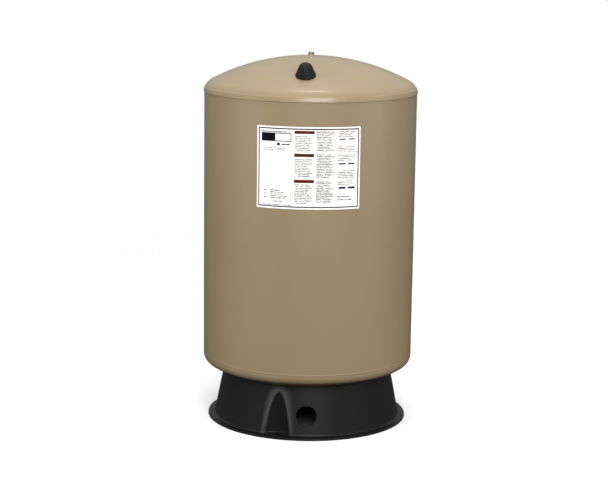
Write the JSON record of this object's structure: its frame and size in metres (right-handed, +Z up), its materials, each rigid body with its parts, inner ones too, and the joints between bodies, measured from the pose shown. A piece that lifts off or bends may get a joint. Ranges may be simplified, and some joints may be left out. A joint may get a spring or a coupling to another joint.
{
  "type": "well pressure tank",
  "caption": "Free-standing steel well pressure tank on a moulded stand, with a covered air valve on its domed top and a pipe elbow under its lower head.",
  "frame": {"origin": "on the floor under the tank's axis, at the middle of the stand's underside", "axes": "+Z up along the tank's axis, -Y towards the front, where the label and the pipe hole are"},
  "size_m": [0.6142, 0.6142, 1.0675],
  "materials": {
    "tank_enamel": "semi-gloss",
    "stand_plastic": "satin",
    "cover_plastic": "satin",
    "label_film": "satin",
    "plated_steel": "satin",
    "stainless_steel": "satin",
    "brass": "satin",
    "rubber": "matte",
    "liner_plastic": "satin",
    "seal_plastic": "matte"
  },
  "bodies": {
    "vessel": {"upper_head": "tank_enamel", "shell": "tank_enamel", "lower_head": "tank_enamel", "seam_weld": "tank_enamel", "lifting_nut": "plated_steel", "valve_boss": "plated_steel", "valve_body": "brass", "core_barrel": "brass", "core_washer": "seal_plastic", "core_spring": "plated_steel", "clench_ring": "plated_steel", "diaphragm": "rubber", "liner": "liner_plastic", "inlet_spout": "stainless_steel", "inlet_seal": "rubber", "inlet_locknut": "stainless_steel", "inlet_elbow": "stainless_steel", "stand": "stand_plastic", "label": "label_film"},
    "cover": {"valve_cover": "cover_plastic"},
    "cap": {"valve_cap": "brass", "cap_seal": "rubber"},
    "pin": {"core_pin": "brass", "core_seal": "rubber"}
  },
  "joints": [
    {"name": "cover_lift", "type": "slide", "parent": "vessel", "child": "cover", "axis": [-0.0237, -0.3478, 0.9373], "range_m": [0, 0.06]},
    {"name": "cap_unscrew", "type": "slide", "parent": "vessel", "child": "cap", "axis": [-0.0237, -0.3478, 0.9373], "range_m": [0, 0.0065]},
    {"name": "pin_press", "type": "slide", "parent": "vessel", "child": "pin", "axis": [0.0237, 0.3478, -0.9373], "range_m": [0, 0.0015], "stiffness_N_per_m": 300, "springref_m": -0.005, "deforming": ["core_spring"]}
  ]
}
